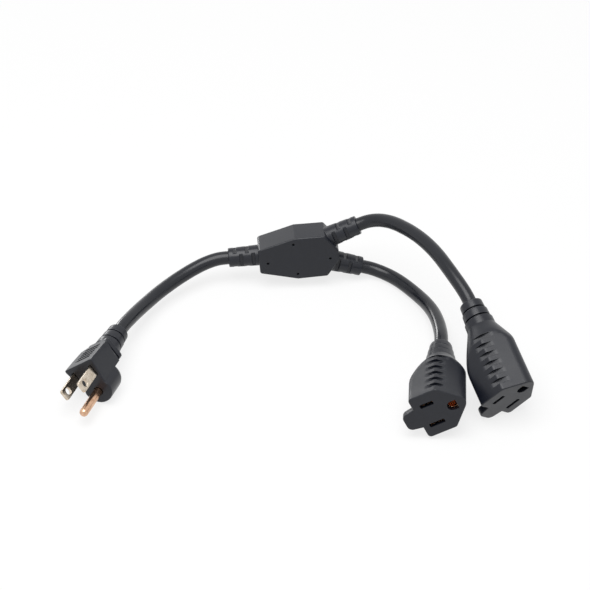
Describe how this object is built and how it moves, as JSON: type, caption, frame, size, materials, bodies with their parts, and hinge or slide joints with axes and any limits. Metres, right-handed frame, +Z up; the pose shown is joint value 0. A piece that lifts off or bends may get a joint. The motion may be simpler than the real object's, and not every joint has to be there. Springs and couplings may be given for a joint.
{
  "type": "power cord splitter",
  "caption": "Y-shaped mains lead: a grounded plug on a short cord feeds a moulded junction block, from which round cords run on to grounded receptacles.",
  "frame": {"origin": "on the surface that the mouldings lie on, under the middle of the box of everything but the cords", "axes": "+Z up, +X from the plug toward the receptacles, +Y from the plug and the receptacles toward the junction block"},
  "size_m": [0.2495, 0.1517, 0.049],
  "materials": {
    "moulded_black": "satin moulded flexible black",
    "cord_jacket": "satin extruded black",
    "insert_natural": "matt natural",
    "nickel_brass": "bright stamped",
    "brass": "bright drawn",
    "tinned_copper": "dull crimped",
    "core_black": "satin",
    "core_white": "satin",
    "core_green": "satin"
  },
  "bodies": {
    "root": {"plug_housing": "moulded_black", "plug_bridge": "insert_natural", "line_blade": "nickel_brass", "neutral_blade": "nickel_brass", "ground_pin": "brass", "plug_line_core": "core_black", "plug_neutral_core": "core_white", "plug_ground_core": "core_green", "junction_housing": "moulded_black", "splice_rack": "insert_natural", "line_splice": "tinned_copper", "input_line_core": "core_black", "lower_output_line_core": "core_black", "upper_output_line_core": "core_black", "neutral_splice": "tinned_copper", "input_neutral_core": "core_white", "lower_output_neutral_core": "core_white", "upper_output_neutral_core": "core_white", "ground_splice": "tinned_copper", "input_ground_core": "core_green", "lower_output_ground_core": "core_green", "upper_output_ground_core": "core_green", "near_receptacle_housing": "moulded_black", "near_contact_carrier": "insert_natural", "near_line_contact": "brass", "near_neutral_contact": "brass", "near_ground_contact": "brass", "near_line_core": "core_black", "near_neutral_core": "core_white", "near_ground_core": "core_green", "far_receptacle_housing": "moulded_black", "far_contact_carrier": "insert_natural", "far_line_contact": "brass", "far_neutral_contact": "brass", "far_ground_contact": "brass", "far_line_core": "core_black", "far_neutral_core": "core_white", "far_ground_core": "core_green", "input_cord": "cord_jacket", "near_output_cord": "cord_jacket", "far_output_cord": "cord_jacket"}
  },
  "joints": []
}
